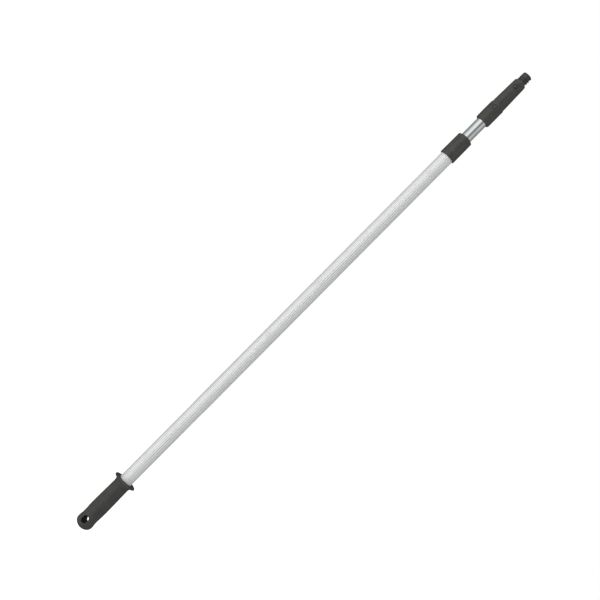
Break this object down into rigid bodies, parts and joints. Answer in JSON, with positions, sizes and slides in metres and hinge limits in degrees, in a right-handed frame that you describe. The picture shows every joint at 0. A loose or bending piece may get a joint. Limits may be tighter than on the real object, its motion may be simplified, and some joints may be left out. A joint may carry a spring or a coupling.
{
  "type": "telescopic window cleaning pole",
  "caption": "Two-section telescopic aluminium pole with hanging grip, collar, inner twist lock and a tapered octagonal tool cone with spring button and coarse thread.",
  "frame": {"origin": "middle of the handle on the pole's axis, 62 mm above the grip's rounded end, where the hand holds it", "axes": "+Z along the pole from grip to thread, -Y the front that carries the pad, the cross pin's head and the button, along the hanging slot; +X to the right seen from the front"},
  "size_m": [0.05, 0.05, 1.2499],
  "materials": {
    "grip_plastic": "satin",
    "black_plastic": "satin",
    "thread_plastic": "satin",
    "button_plastic": "satin",
    "outer_aluminium": "satin",
    "inner_aluminium": "satin",
    "pale_plastic": "satin",
    "zinc": "satin",
    "steel": "satin"
  },
  "bodies": {
    "outer_section": {"grip": "grip_plastic", "outer_tube": "outer_aluminium", "tube_plug": "black_plastic", "collar": "black_plastic", "guide_bush": "black_plastic"},
    "collet_section": {"lock_collet": "pale_plastic"},
    "wedge": {"lock_cone": "zinc"},
    "inner_section": {"inner_tube": "inner_aluminium", "lock_plug": "black_plastic", "plug_rivets": "inner_aluminium", "lock_stud": "steel", "thrust_washer": "steel", "stop_washer": "steel", "stop_nut": "steel", "slide_ring": "pale_plastic", "tip_cone": "black_plastic", "cone_pin": "button_plastic", "thread_end": "thread_plastic", "end_pins": "steel", "spring_seat": "black_plastic", "button_spring": "steel"},
    "button": {"lock_button": "button_plastic"}
  },
  "joints": [
    {"name": "extend", "type": "slide", "parent": "outer_section", "child": "collet_section", "axis": [0, 0, 1], "range_m": [-0.0435, 0.8625]},
    {"name": "twist_lock", "type": "hinge", "parent": "collet_section", "child": "inner_section", "pos_m": [0, 0, 0.1], "axis": [0, 0, 1], "range_deg": [0, 180]},
    {"name": "cone_draw", "type": "slide", "parent": "collet_section", "child": "wedge", "axis": [0, 0, 1], "range_m": [-0.0015, 0]},
    {"name": "button_press", "type": "slide", "parent": "inner_section", "child": "button", "axis": [0, 1, 0], "range_m": [0, 0.0027], "stiffness_N_per_m": 1200, "springref_m": -0.002, "deforming": ["button_spring"]}
  ],
  "couplings": [
    {"joint": "cone_draw", "follows": "twist_lock", "m_per_rad": -0.000477}
  ]
}
